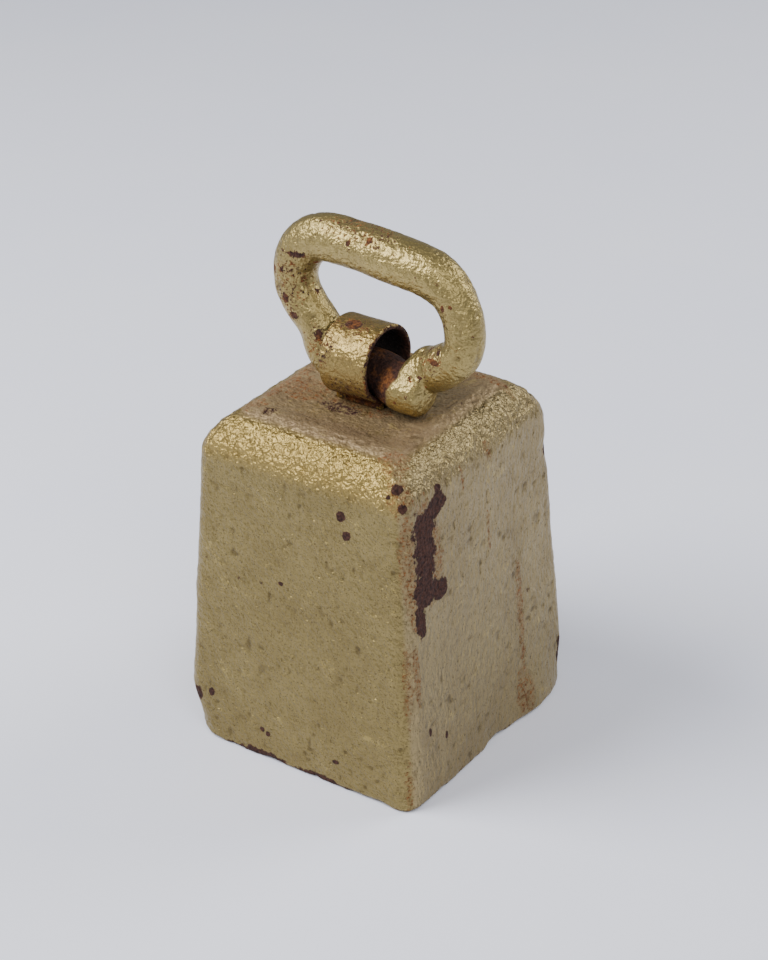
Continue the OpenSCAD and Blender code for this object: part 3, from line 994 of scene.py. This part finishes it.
# %% Wear on the bell's shape
KNOCKS = [  # place in shares of the mouth's half sizes and in mm up, reach in mm, shift in mm
    ((1.00, 0.54, 0), (22, 19, 26), (2.6, 0.0, 0.0)),     # swollen foot at the far right
    ((1.00, 0.02, 0), (12, 9, 14), (-0.9, 0.0, 0.9)),     # the kink beside it
    ((1.00, 1.00, 0), (14, 14, 22), (-1.6, -1.4, 0.5)),   # far right foot, rubbed round
    ((-1.00, -1.00, 0), (15, 15, 22), (4.0, 2.8, 1.6)),   # left foot, knocked round
    ((1.00, -1.00, 0), (10, 10, 12), (0.3, -0.3, 0.0)),   # near foot, splayed a little
    ((0.88, 0.86, 97), (9, 9, 9), (-0.6, -0.3, 0.0)),     # rust notch on the far right edge
    ((0.90, -0.88, 104), (7, 7, 12), (-0.8, 0.8, 0.0)),   # near edge, worn at the top
]


def knock(points):
    """Adds each knock's shift, fading smoothly from its place out to its reach."""
    moved = points.copy()
    for place, reach, shift in KNOCKS:
        centre = np.array([place[0] * mouth[0], place[1] * mouth[1], place[2]])
        distance = np.linalg.norm((points - centre) / np.array(reach), axis=-1)
        moved += bump(distance)[..., None] * np.array(shift)
    return moved


def iron_relief(points, shoulder_share):
    """Height in mm of hammered iron under paint: hammer marks and sparse pits on the walls, which
    give way to a fine crinkled crust on the shoulder."""
    marks = (0.16 - 0.06 * shoulder_share) * noise(points, 6.5, 11) + 0.12 * noise(points, 3.1, 12)
    grains = (0.10 + 0.10 * shoulder_share) * noise(points, 2.0, 13)
    grains += (0.06 + 0.15 * shoulder_share) * noise(points, 1.2, 14)
    pits = -0.26 * step_up(noise(points, 2.2, 15), 0.46, 0.70)
    return marks + grains + pits


def broad_dents(points):
    """Height in mm of the slow unevenness of the whole sheet."""
    return 0.50 * noise(points, 34, 21) + 0.22 * noise(points, 15, 22)


def rim_bites(points):
    """How far the rim is eaten away upward: ragged, and only within a few mm of the floor."""
    near_rim = 1 - step_up(points[..., 2], 0.5, 7.0)
    return near_rim * (0.5 * step_up(noise(points, 9, 31), 0.05, 0.6)
                       + 0.25 * step_up(noise(points, 3, 32), 0.1, 0.6))


def shape_sheet(sheet):
    """The bell's real surface: leaned, dished, knocked, dented and crusted."""
    lean = step_up(sheet[..., 2], 0, crown_z)[..., None] * CROWN_LEAN
    from_slot = np.maximum(np.abs(sheet[..., 0]) - slot_half[0], np.abs(sheet[..., 1]) - slot_half[1])
    on_flat = step_up(from_slot, 0.0, 5.0)[..., None]
    shaped = sheet.copy()
    shaped[..., :2] += lean * on_flat
    edge = shoulder - SHOULDER_REACH
    inside = np.maximum(np.abs(sheet[..., 0]) / edge[0], np.abs(sheet[..., 1]) / edge[1])
    dish = CROWN_DISH * (1 - step_up(inside, 0.72, 1.06))
    shaped[..., 2] -= np.where(is_outside[:, None], dish, 0)
    shaped = knock(shaped)
    normal = grid_normals(shaped)
    height = broad_dents(shaped) * step_up(np.abs(heights - crown_z), -1, 14)[:, None]
    on_shoulder = bump((shaped[..., 2] - 118.5) / 9.5)
    fine = iron_relief(shaped, on_shoulder)
    height = height + np.where(is_outside[:, None], fine, 0.4 * fine)
    height *= on_flat[..., 0] * 0.9 + 0.1
    shaped += normal * height[..., None]
    shaped[..., 2] += rim_bites(sheet)
    shaped[..., 2] = np.maximum(shaped[..., 2], 0.0)
    return shaped, -fine


bell_points, bell_hollows = shape_sheet(sheet)
bell_normals = grid_normals(bell_points)
print("bell box:", bell_points.min((0, 1)).round(2), bell_points.max((0, 1)).round(2))

# %% Wall and crown pieces
def sheet_piece(name, rows):
    """Cuts a run of rows out of the bell's grid and closes it with a flat joint face. Normals come
    from the whole grid, so that light passes over the joint without a line."""
    points = bell_points[rows].reshape(-1, 3)
    normals = bell_normals[rows].reshape(-1, 3)
    around = bell_points.shape[1]
    faces = grid_faces(len(rows), around, loop_rows=True)
    corner_normals = normals[faces]
    joint_faces = slice((len(rows) - 1) * around, None)
    a, b, c = (points[faces[joint_faces, k]] for k in (0, 1, 2))
    flat = np.cross(b - a, c - a)
    flat /= np.linalg.norm(flat, axis=-1, keepdims=True)
    corner_normals[joint_faces] = flat[:, None]
    made = make_object(name, points, faces, corner_normals)
    store(made, "hollow", bell_hollows[rows])
    return made


wall_rows = np.arange(outer_joint, inner_joint)
crown_rows = np.concatenate([np.arange(inner_joint - 1, rows_total), np.arange(0, outer_joint + 1)])
bell_wall = sheet_piece("painted_wall", wall_rows)
place_piece(bell_wall, "bell", "bell_wall", bell_finish)
crown_cap = sheet_piece("painted_crown", crown_rows)
place_piece(crown_cap, "bell", "crown_cap", crown_finish)

# %% [markdown]
# ## The hanger strap
# A flat strap was bent round a bar into an eye, and its two legs were pushed through the crown.
# A bent curve with a bevel would twist at the tight bends, so a rounded rectangle is carried
# along the strap's middle line instead: up one leg, round the eye, down the other leg.

# %% Sweeping a section along a path
def resample(path, step):
    """Points at even spacing along a path, by its running length."""
    length = np.concatenate([[0], np.cumsum(np.linalg.norm(np.diff(path, axis=0), axis=1))])
    even = np.linspace(0, length[-1], max(int(length[-1] / step), 2) + 1)
    return np.stack([np.interp(even, length, path[:, k]) for k in range(path.shape[1])], -1)


def soften(path, reach, step):
    """Rounds a path's corners: each point becomes the weighted mean of those within reach."""
    count = int(round(reach / step))
    weight = np.hanning(2 * count + 3)[1:-1]
    weight /= weight.sum()
    padded = np.pad(path, ((count, count), (0, 0)), mode="reflect", reflect_type="odd")
    return np.stack([np.convolve(padded[:, k], weight, "valid") for k in range(path.shape[1])], -1)


def sweep(path, section, side):
    """Carries a section along a path. At each point the section's first axis lies along side, and
    its second lies along the cross product of the path's heading and side."""
    heading = np.gradient(path, axis=0)
    heading /= np.linalg.norm(heading, axis=1, keepdims=True)
    across = side - (heading @ side)[:, None] * heading
    across /= np.linalg.norm(across, axis=1, keepdims=True)
    up = np.cross(heading, across)
    return path[:, None] + section[..., :1] * across[:, None] + section[..., 1:] * up[:, None]


def close_ends(grid):
    """Faces and points of a tube whose two ends are closed by fans round their middle points."""
    rows, around = grid.shape[:2]
    faces = grid_faces(rows, around, loop_rows=False)
    turn = np.arange(around)
    following = np.roll(turn, -1)
    first, last = rows * around, rows * around + 1
    top = (rows - 1) * around
    start_fan = np.stack([np.full(around, first), np.full(around, first), following, turn], -1)
    end_fan = np.stack([np.full(around, last), np.full(around, last), top + turn, top + following], -1)
    points = np.concatenate([grid.reshape(-1, 3), grid[:1].mean(1), grid[-1:].mean(1)])
    return points, np.concatenate([faces, start_fan, end_fan])


print("sweep tools ready")

# %% Strap
STRAP_EDGE = 0.7
STRAP_STEP = 0.6
STRAP_BEND = 2.4
DENTS_START = 124
DENTS_FULL = 131

strap_half = (strap_high - strap_low)[0] / 2
leg_y = LEG_PAIR_DEPTH / 2 - STRAP_SHEET / 2
middle_radius = EYE_RADIUS + STRAP_SHEET / 2


def strap_path():
    """Up one leg, round the eye and down the other leg, in the plane X = 0."""
    opening = math.asin(leg_y / middle_radius)
    turn = np.linspace(-math.pi / 2 - opening, -math.pi / 2 - 2 * math.pi + opening, 200)
    eye = np.stack([0 * turn, middle_radius * np.cos(turn), EYE_Z + middle_radius * np.sin(turn)], -1)
    leg = np.array([[0, -leg_y, strap_low[2]], [0, -leg_y, eye[0, 2]]])
    path = np.concatenate([leg, eye, leg[::-1] * [1, -1, 1]])
    return soften(resample(path, STRAP_STEP), STRAP_BEND, STRAP_STEP)


def strap_section():
    """A thin rounded rectangle, wide along the first axis."""
    centres, angles = square_walk(26, 5)
    half = np.array([strap_half, STRAP_SHEET / 2]) - STRAP_EDGE
    return centres * half + STRAP_EDGE * np.stack([np.cos(angles), np.sin(angles)], -1)


def strap_relief(points):
    """Height in mm of hammer marks and grains on the strap."""
    marks = 0.22 * noise(points, 9, 41) + 0.10 * noise(points, 3.2, 42)
    return marks + 0.05 * noise(points, 1.4, 43)


strap_grid = sweep(strap_path(), strap_section()[None], np.array([1.0, 0, 0]))
strap_outward = strap_grid - np.array([0, 0, EYE_Z])
strap_outward[..., 0] *= 0.05
strap_outward /= np.linalg.norm(strap_outward, axis=-1, keepdims=True)
in_eye = step_up(strap_grid[..., 2], DENTS_START, DENTS_FULL)[..., None]
strap_dents = strap_relief(strap_grid)
strap_grid = strap_grid + strap_outward * strap_dents[..., None] * in_eye
hanger_strap = make_object("rolled_strap", *close_ends(strap_grid))
store(hanger_strap, "hollow", np.append(-strap_dents, [0, 0]))
place_piece(hanger_strap, "bell", "hanger_strap", strap_finish)

# %% [markdown]
# ## The lifting ring
# A round bar was bent hot into a loop through the strap's eye. One end runs through the eye and
# stops in a blunt nose, and the other end was bent in over it and hammered on. A curve with a
# round bevel would keep one thickness and show the lap as two bars. So its middle line is a list
# of corners with a bend radius each, the thickness changes along it, and a short filler fills the
# crease of the lap. A voxel remesh then joins all of it into one skin.

# %% Ring path
RING_TILT = math.radians(6)
BAR_RADIUS = 7.8
RING_CORNERS = [  # along the ring and up it from the lower bar's middle line, and the bend's radius
    (27.8, 0.0, 0.0),      # blunt nose
    (-17.0, 0.0, 7.0),     # left foot
    (-17.0, 9.0, 12.0),    # left leg leans out
    (-52.9, 44.6, 14.4),   # upper left bend
    (37.0, 39.0, 19.0),    # upper right bend
    (40.0, 14.6, 9.0),     # right leg turns in
    (26.6, 4.8, 10.0),     # and lies along the lower bar
    (17.0, 4.6, 0.0),      # its hammered end
]
RING_STEP = 0.8
RING_BEND_EASE = 3.2
NOSE_SAG = 2.3
NOSE_SHIFT = -2.3
LOBE_SHIFT = 2.6


def bent_path(corners, step):
    """Straight lengths joined by arcs. Each arc leaves the straight before its corner by the
    radius times the tangent of half the turn."""
    flat = np.array(corners)[:, :2]
    pieces = [flat[:1]]
    for before, corner, after, radius in zip(flat, flat[1:], flat[2:], np.array(corners)[1:, 2]):
        coming = (corner - before) / np.linalg.norm(corner - before)
        going = (after - corner) / np.linalg.norm(after - corner)
        turn = math.atan2(coming[0] * going[1] - coming[1] * going[0], coming @ going)
        start = corner - coming * radius * abs(math.tan(turn / 2))
        side = np.array([-coming[1], coming[0]]) * np.sign(turn)
        angle = np.linspace(0, abs(turn), 24)[:, None]
        pieces.append(start + radius * (np.sin(angle) * coming + (1 - np.cos(angle)) * side))
    pieces.append(flat[-1:])
    return resample(np.concatenate(pieces), step)


flat_path = soften(bent_path(RING_CORNERS, RING_STEP), RING_BEND_EASE, RING_STEP)
along = np.linspace(0, 1, len(flat_path))
ring_x, ring_y = flat_path.T
on_top = step_up(ring_y, 30, 38)
ring_y = ring_y + 0.9 * on_top * bump((ring_x + 4) / 30)
lower_end = along < 0.2
upper_end = along > 0.8
nose_share = np.where(lower_end, step_up(ring_x, 5, 19), 0)
lobe_share = np.where(upper_end, 1 - step_up(ring_x, 22, 37), 0)
out_of_plane = NOSE_SHIFT * nose_share + LOBE_SHIFT * lobe_share
sag = NOSE_SAG * nose_share
ring_path = np.stack([
    ring_x,
    ring_y * math.sin(RING_TILT) + out_of_plane,
    RING_Z + ring_y * math.cos(RING_TILT) - sag,
], -1)
print("ring path:", len(ring_path), "points")

# %% Ring bar
BAR_SIDES = 72
NOSE_ROUNDING = 3.4
LOBE_ROUNDING = 7.0


def round_section(sides):
    turn = np.linspace(0, 2 * math.pi, sides, endpoint=False)
    return np.stack([np.cos(turn), np.sin(turn)], -1)


END_GAP = 0.02  # keeps the last section of a tube from closing to a point


def end_rounding(distance, radius):
    """How much of a bar's thickness is left near an end: a quarter ellipse over that radius."""
    share = np.clip((distance + END_GAP) / radius, 0, 1)
    return np.sqrt(1 - (1 - share) ** 2)


run = np.concatenate([[0], np.cumsum(np.linalg.norm(np.diff(ring_path, axis=0), axis=1))])
thick = np.full(len(run), BAR_RADIUS)
thick += 0.6 * bump((ring_x - 16) / 24) * step_up(ring_y, 28, 34)
thick += 0.45 * bump((ring_x + 12) / 36) * step_up(ring_y, 28, 34)
thick -= 1.0 * bump((ring_x - 42) / 16) * step_up(ring_y, 5, 12)
thick -= 0.4 * bump((ring_y - 14) / 22) * step_up(-ring_x, 10, 18)
thick += 0.35 * nose_share
ends = end_rounding(run, NOSE_ROUNDING) * end_rounding(run[-1] - run, LOBE_ROUNDING)
section = round_section(BAR_SIDES)[None] * (thick * ends)[:, None, None]
bar_grid = sweep(ring_path, section, np.array([0, -math.cos(RING_TILT), math.sin(RING_TILT)]))
print("ring bar:", bar_grid.shape)

# %% Forging parts into one skin
def forge(name, shapes, voxel, smoothing):
    """Joins overlapping closed shapes into one skin with a voxel remesh, and relaxes the creases."""
    points, faces, used = [], [], 0
    for shape_points, shape_faces in shapes:
        if volume(shape_points, shape_faces) < 0:
            shape_faces = shape_faces[:, ::-1]
        points.append(shape_points)
        faces.append(shape_faces + used)
        used += len(shape_points)
    made = make_object(name, np.concatenate(points), np.concatenate(faces))
    remesh = made.modifiers.new("join", "REMESH")
    remesh.mode = "VOXEL"
    remesh.voxel_size = voxel * MM
    remesh.use_smooth_shade = True
    relax = made.modifiers.new("relax", "SMOOTH")
    relax.iterations = smoothing
    joined = bpy.data.meshes.new_from_object(made.evaluated_get(bpy.context.evaluated_depsgraph_get()))
    made.modifiers.clear()
    made.data = joined
    joined.name = name
    return made


def roughen(made, height_of):
    """Moves each point of a piece along its normal by a height worked out from its place."""
    count = len(made.data.vertices)
    points = np.empty(count * 3, np.float32)
    made.data.vertices.foreach_get("co", points)
    normals = np.empty(count * 3, np.float32)
    made.data.vertex_normals.foreach_get("vector", normals)
    points = points.reshape(-1, 3).astype(float) / MM
    height = height_of(points)
    points += normals.reshape(-1, 3) * height[:, None]
    made.data.vertices.foreach_set("co", (points * MM).astype(np.float32).ravel())
    made.data.update()
    store(made, "hollow", -height)


def bar_relief(points):
    """Height in mm of a hammered bar: softer than the shoulder, with grains and pits, and calm
    where it lies in the eye and round the lap."""
    low = step_up(-points[:, 2], -RING_Z - 16, -RING_Z - 10)
    calm = 1 - 0.7 * bump((points[:, 0] - 8) / 28) * low
    marks = 0.16 * noise(points, 6, 51) + 0.10 * noise(points, 2.9, 52)
    grains = 0.09 * noise(points, 1.6, 53)
    pits = -0.22 * step_up(noise(points, 2.3, 54), 0.45, 0.72)
    return calm * (marks + grains + pits)


print("forging tools ready")

# %% Filler in the lap, and the finished ring
FILLER_START = np.array([15.5, 0.3, RING_Z + 1.2])
FILLER_LENGTH = 10.0
FILLER_RADIUS = 7.9
FILLER_ROUNDING = (4.5, 3.0)
RING_VOXEL = 0.55
RING_SMOOTHING = 20

filler_run = np.linspace(0, FILLER_LENGTH, 40)
filler_path = FILLER_START + filler_run[:, None] * [1, 0, 0]
filler_ends = end_rounding(filler_run, FILLER_ROUNDING[0])
filler_ends = filler_ends * end_rounding(FILLER_LENGTH - filler_run, FILLER_ROUNDING[1])
filler_section = round_section(BAR_SIDES)[None] * (FILLER_RADIUS * filler_ends)[:, None, None]
filler_grid = sweep(filler_path, filler_section, np.array([0, 1.0, 0]))
ring_shapes = [close_ends(bar_grid), close_ends(filler_grid)]
lifting_ring = forge("forged_ring", ring_shapes, RING_VOXEL, RING_SMOOTHING)
roughen(lifting_ring, bar_relief)
place_piece(lifting_ring, "ring", "lifting_ring", ring_finish)

# %% [markdown]
# ## Inside the bell
# Under the crown a square plate stiffens the slot, and a pin with two domed heads passes through
# the strap's legs. The clapper's flat eye hangs on the pin between the legs, and its rod carries
# the bob. These are bare forged iron. Stock cylinders and spheres would have sharp edges and no
# hammer marks, so round pieces are profiles turned about an axis and then roughened.

# %% Turned shapes
def turned(profile, axis, centre, sides):
    """Turns a closed profile of radius and height about an axis through centre: each point goes
    round a circle of its radius at its height."""
    axis = np.array(axis, float)
    first = np.roll(axis, 1)
    second = np.cross(axis, first)
    turn = np.linspace(0, 2 * math.pi, sides, endpoint=False)
    ring = np.cos(turn)[:, None] * first + np.sin(turn)[:, None] * second
    radius, height = np.array(profile, float).T
    return np.array(centre) + radius[:, None, None] * ring + height[:, None, None] * axis


def rounded_box(half_width, half_height, edge, steps):
    """A rounded rectangle about (0, 0) as a closed profile."""
    centres, angles = square_walk(steps, 6)
    half = np.array([half_width, half_height]) - edge
    return centres * half + edge * np.stack([np.cos(angles), np.sin(angles)], -1)


def washer_shape(inner, outer, thickness, edge, axis, centre, sides=96):
    """A ring with a hole: a rounded box turned round an axis that passes outside it."""
    profile = rounded_box((outer - inner) / 2, thickness / 2, edge, 6) + [(outer + inner) / 2, 0]
    grid = turned(profile, axis, centre, sides)
    return grid.reshape(-1, 3), grid_faces(*grid.shape[:2], loop_rows=True)


def solid_shape(profile, axis, centre, sides=96):
    """A solid turned shape, whose profile starts and ends on the axis."""
    return close_ends(turned(profile, axis, centre, sides))


print("turning tools ready")

# %% Backing plate
PLATE_EDGE = 0.8
PLATE_CORNER = 2.0
PLATE_ROWS = 14
LIP_ROWS = 7

plate_half = (plate_high - plate_low)[:2] / 2
plate_walk = square_walk(60, 6)
lip = np.linspace(0, math.pi, LIP_ROWS + 2)[1:-1]
lip_inset = PLATE_EDGE * (1 - np.sin(lip))
lip_middle = np.where(lip < math.pi / 2, plate_high[2] - PLATE_EDGE, plate_low[2] + PLATE_EDGE)
lip_z = lip_middle + PLATE_EDGE * np.cos(lip)
share = np.linspace(0, 1, PLATE_ROWS)[:, None]
top_half = slot_half * (1 - share) + (plate_half - PLATE_EDGE) * share
top_corner = SLOT_CORNER + (PLATE_CORNER - SLOT_CORNER) * share[:, 0]
plate_z = np.concatenate([np.full(PLATE_ROWS, plate_high[2]), lip_z, np.full(PLATE_ROWS, plate_low[2])])
plate_sizes = np.concatenate([top_half, plate_half - lip_inset[:, None], top_half[::-1]])
plate_corners = np.concatenate([top_corner, np.full(LIP_ROWS, PLATE_CORNER), top_corner[::-1]])
plate_grid = square_rows(plate_z, plate_sizes, plate_corners, plate_walk)
from_slot = np.abs(plate_grid[..., :2]).max(-1) > slot_half[0] + 1
plate_heights = 0.12 * from_slot * noise(plate_grid, 5, 61) - 0.12
plate_grid += grid_normals(plate_grid) * plate_heights[..., None]
plate_faces = grid_faces(*plate_grid.shape[:2], loop_rows=True)
backing_plate = make_object("forged_plate", plate_grid.reshape(-1, 3), plate_faces)
place_piece(backing_plate, "bell", "backing_plate", bare_finish)

# %% Clapper pin and washers
PIN_RADIUS = 3.0
HEAD_RADIUS = 5.5
HEAD_THICKNESS = 2.5
HEAD_STEP = 0.5
WASHER_THICKNESS = 1.2
WASHER_HOLE = 3.2

pin_centre = (pin_low + pin_high) / 2
pin_end = (pin_high - pin_low)[1] / 2
head_face = pin_end - HEAD_THICKNESS
dome = np.linspace(0, math.pi / 2, 12)
dome_height = head_face + HEAD_STEP + (HEAD_THICKNESS - HEAD_STEP) * np.cos(dome)
dome_profile = np.stack([HEAD_RADIUS * np.sin(dome), dome_height], -1)
neck = [[HEAD_RADIUS - 0.3, head_face + 0.1], [HEAD_RADIUS - 1, head_face], [PIN_RADIUS, head_face]]
shaft = np.stack([np.full(24, PIN_RADIUS), np.linspace(head_face - 0.2, -head_face + 0.2, 24)], -1)
one_side = np.concatenate([dome_profile[1:], neck])
pin_profile = np.concatenate([one_side, shaft, (one_side * [1, -1])[::-1]])


def pin_relief(points):
    """Hammer marks on the two heads only, so that the shaft stays true."""
    return 0.07 * noise(points, 2.5, 62) * (np.abs(points[:, 1]) > head_face + 0.2)


clapper_pin = make_object("domed_pin", *solid_shape(pin_profile, (0, 1, 0), pin_centre))
roughen(clapper_pin, pin_relief)
place_piece(clapper_pin, "bell", "clapper_pin", worn_finish)

washer_radius = (washers_high - washers_low)[0] / 2
washer_parts = []
for side in (-1, 1):
    middle = pin_centre + [0, side * (head_face - WASHER_THICKNESS / 2), 0]
    washer_parts.append(washer_shape(WASHER_HOLE, washer_radius, WASHER_THICKNESS, 0.3, (0, 1, 0), middle))
washer_points = np.concatenate([part[0] for part in washer_parts])
washer_faces = np.concatenate([washer_parts[0][1], washer_parts[1][1] + len(washer_parts[0][0])])
pin_washers = make_object("pin_washer_pair", washer_points, washer_faces)
place_piece(pin_washers, "bell", "pin_washers", worn_finish)

# %% Clapper shank
SHANK_RADIUS = 3.5
EYE_THICKNESS = 5.4
COLLAR_RADIUS = 5.5
COLLAR_HEIGHT = 2.5
BORE_RADIUS = 3.05
SHANK_VOXEL = 0.45
SHANK_SMOOTHING = 3

shank_eye_radius = (shank_high - shank_low)[0] / 2
rod_top = pin_centre[2] - shank_eye_radius + 1
rod = np.linspace(rod_top, shank_low[2] + 1.0, 60)
rod_swell = 1 + 0.10 * np.sin((rod - rod[-1]) / 19) + 0.35 * bump((rod - rod_top) / 9)
rod_profile = np.concatenate([
    [[0.02, rod_top + 2]],
    np.stack([SHANK_RADIUS * rod_swell, rod], -1),
    [[SHANK_RADIUS - 0.8, shank_low[2] + 0.1], [0.02, shank_low[2]]],
])
shank_parts = [
    washer_shape(BORE_RADIUS, shank_eye_radius, EYE_THICKNESS, 1.0, (0, 1, 0), pin_centre),
    solid_shape(rod_profile, (0, 0, 1), (0, 0, 0)),
]
for collar_z in (bob_high[2] + COLLAR_HEIGHT / 2, bob_low[2] - COLLAR_HEIGHT / 2):
    shank_parts.append(washer_shape(1.5, COLLAR_RADIUS, COLLAR_HEIGHT, 0.7, (0, 0, 1), (0, 0, collar_z)))


def shank_relief(points):
    """Height in mm of hammered iron, and none round the bore or on the eye's two flat faces."""
    off_bore = np.hypot(points[:, 0], points[:, 2] - pin_centre[2]) > BORE_RADIUS + 1.5
    off_faces = np.abs(points[:, 1]) < EYE_THICKNESS / 2 - 0.3
    return (0.10 * noise(points, 4, 63) + 0.06 * noise(points, 1.7, 64)) * off_bore * off_faces


clapper_shank = forge("forged_shank", shank_parts, SHANK_VOXEL, SHANK_SMOOTHING)
roughen(clapper_shank, shank_relief)
place_piece(clapper_shank, "clapper", "clapper_shank", bare_finish)

# %% Clapper bob
BOB_ROOM = 0.05

bob_radius = (bob_high - bob_low)[0] / 2
bob_half = (bob_high - bob_low)[2] / 2
bob_centre = (bob_low + bob_high) / 2
flat_angle = math.acos(bob_half / bob_radius)
turn = np.linspace(flat_angle, math.pi - flat_angle, 70)
ball = np.stack([bob_radius * np.sin(turn), bob_radius * np.cos(turn)], -1)
flat_radius = bob_radius * math.sin(flat_angle)
bore_radius = SHANK_RADIUS + BOB_ROOM
top = np.stack([np.linspace(bore_radius, flat_radius, 8)[:-1], np.full(7, bob_half)], -1)
bore = np.stack([np.full(8, bore_radius), np.linspace(-bob_half, bob_half, 10)[1:-1]], -1)
bob_profile = np.concatenate([top, ball, (top * [1, -1])[::-1], bore])
bob_grid = turned(bob_profile, (0, 0, 1), bob_centre, 160)
on_ball = step_up(np.hypot(bob_grid[..., 0], bob_grid[..., 1]), flat_radius - 1, flat_radius + 2)
bob_heights = 0.28 * noise(bob_grid, 8, 65) + 0.12 * noise(bob_grid, 3, 66) - 0.25
bob_grid = bob_grid + grid_normals(bob_grid) * (bob_heights * on_ball)[..., None]
bob_faces = grid_faces(*bob_grid.shape[:2], loop_rows=True)
clapper_bob = make_object("forged_bob", bob_grid.reshape(-1, 3), bob_faces)
place_piece(clapper_bob, "clapper", "clapper_bob", bare_finish)

# %% [markdown]
# ## Sizes and finish
# The last cell prints how far the finished model's box reaches past the CAD box on each side, in mm.

# %% Sizes and finish
seen_low, seen_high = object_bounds()
outside = [round((a - b) / MM, 2) for a, b in zip((*cad_low, *seen_high), (*seen_low, *cad_high))]
print("box over the CAD box in mm:", outside)
